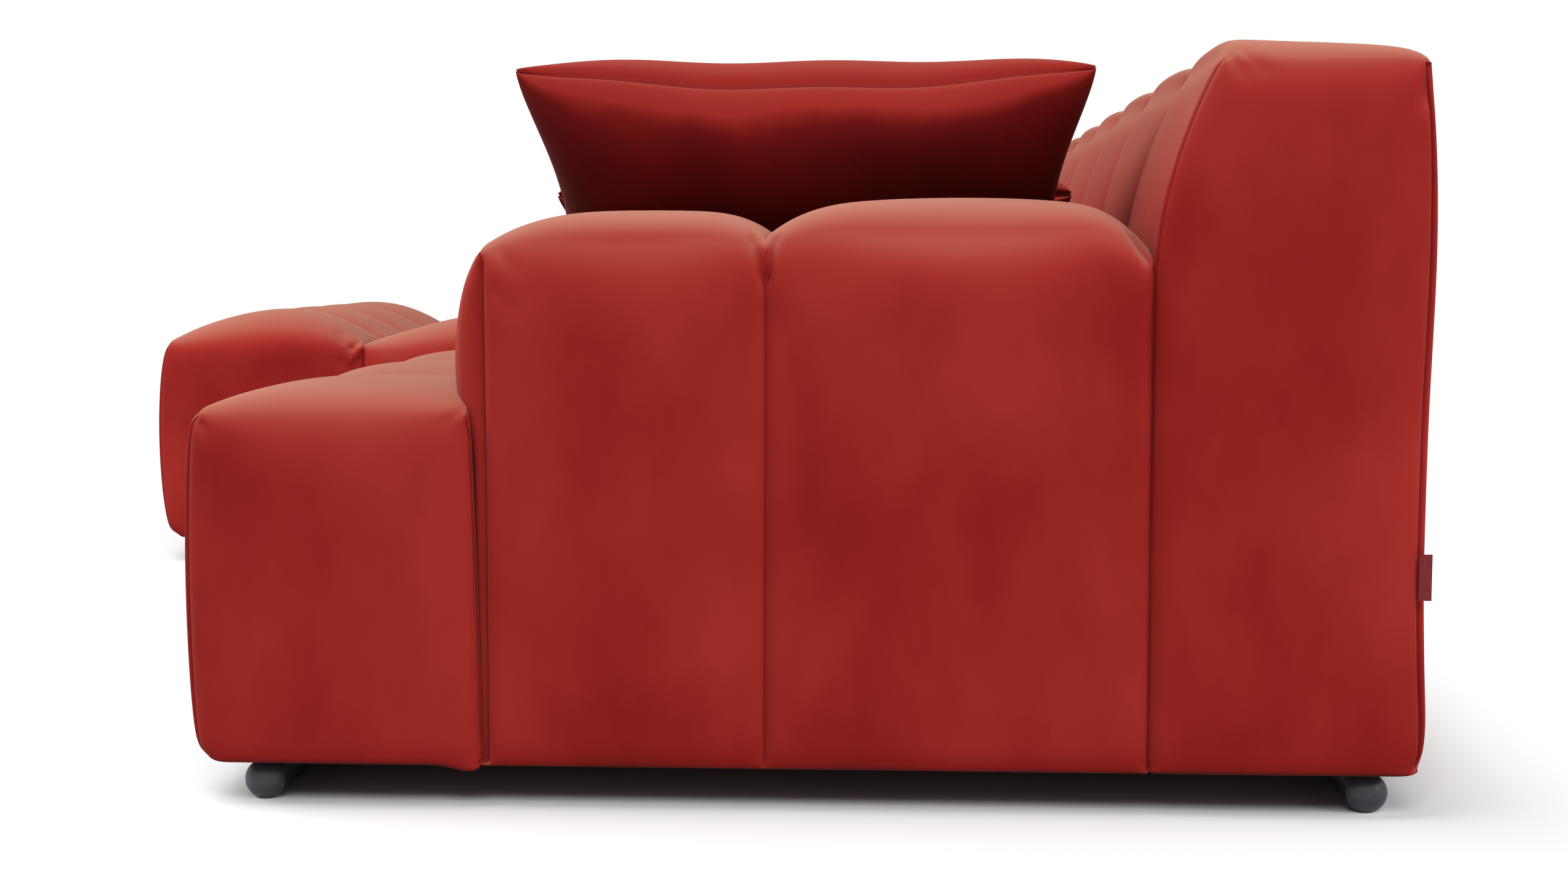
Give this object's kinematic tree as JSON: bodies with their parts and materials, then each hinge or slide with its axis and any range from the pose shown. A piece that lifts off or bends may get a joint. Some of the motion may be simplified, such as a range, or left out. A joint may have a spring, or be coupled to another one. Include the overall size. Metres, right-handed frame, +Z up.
{
  "type": "lounge sofa",
  "caption": "Low L-shaped lounge sofa in quilted velvet: a main section with one arm, hooked to a deeper chaise section, on bar feet, with loose pillows.",
  "frame": {"origin": "on the floor, under the middle of the sofa's outline", "axes": "+X along the sofa towards the main section's arm, -Y out of the seat's front, +Z up"},
  "size_m": [2.41, 1.7999, 0.7484],
  "materials": {
    "velvet": "red velvet with a soft sheen",
    "filling": "white filled insert",
    "foam": "open-cell foam",
    "webbing": "woven elastic straps",
    "lining": "black lining cloth",
    "tag": "woven dark red tape",
    "timber": "planed softwood",
    "plywood": "sanded plywood",
    "hardboard": "plain hardboard",
    "steel": "zinc plated",
    "black_bar": "black satin"
  },
  "bodies": {
    "main_section": {"main_back_foam": "foam", "main_back_pad": "velvet", "main_back_panel": "hardboard", "main_back_posts": "timber", "main_back_top_rail": "timber", "main_back_webbing": "webbing", "main_corner_blocks": "timber", "main_dust_cover": "lining", "main_end_rail": "timber", "main_feet": "black_bar", "main_foot_saddles": "timber", "main_front_pad": "velvet", "main_front_rail": "timber", "main_joint_rail": "timber", "main_rear_rail": "timber", "main_receivers": "steel", "main_seat_foam": "foam", "main_seat_pad": "velvet", "main_seat_rail": "timber", "main_seat_webbing": "webbing", "main_side_lining": "lining", "main_struts": "timber", "near_arm_board": "plywood", "near_arm_formers": "plywood", "near_arm_front_pad": "velvet", "near_arm_rear_pad": "velvet", "side_tag": "tag"},
    "chaise_section": {"chaise_back_foam": "foam", "chaise_back_pad": "velvet", "chaise_back_panel": "hardboard", "chaise_back_posts": "timber", "chaise_back_top_rail": "timber", "chaise_back_webbing": "webbing", "chaise_corner_blocks": "timber", "chaise_dust_cover": "lining", "chaise_end_rail": "timber", "chaise_feet": "black_bar", "chaise_foot_saddles": "timber", "chaise_front_pad": "velvet", "chaise_front_rail": "timber", "chaise_hooks": "steel", "chaise_joint_rail": "timber", "chaise_rear_rail": "timber", "chaise_seat_foam": "foam", "chaise_seat_pad": "velvet", "chaise_seat_rail": "timber", "chaise_seat_webbing": "webbing", "chaise_side_lining": "lining", "chaise_struts": "timber", "far_arm_board": "plywood", "far_arm_formers": "plywood", "far_arm_front_pad": "velvet", "far_arm_rear_pad": "velvet"},
    "upright_pillow": {"upright_pillow_cover": "velvet", "upright_pillow_insert": "filling"},
    "low_pillow": {"low_pillow_cover": "velvet", "low_pillow_insert": "filling"}
  },
  "joints": [
    {"name": "chaise_lift", "type": "slide", "parent": "main_section", "child": "chaise_section", "axis": [0, 0, 1], "range_m": [0, 0.045]},
    {"name": "upright_pillow_lift", "type": "slide", "parent": "main_section", "child": "upright_pillow", "axis": [0.6428, 0, 0.766], "range_m": [0, 0.3]},
    {"name": "low_pillow_lift", "type": "slide", "parent": "main_section", "child": "low_pillow", "axis": [0, 0, 1], "range_m": [0, 0.3]}
  ]
}
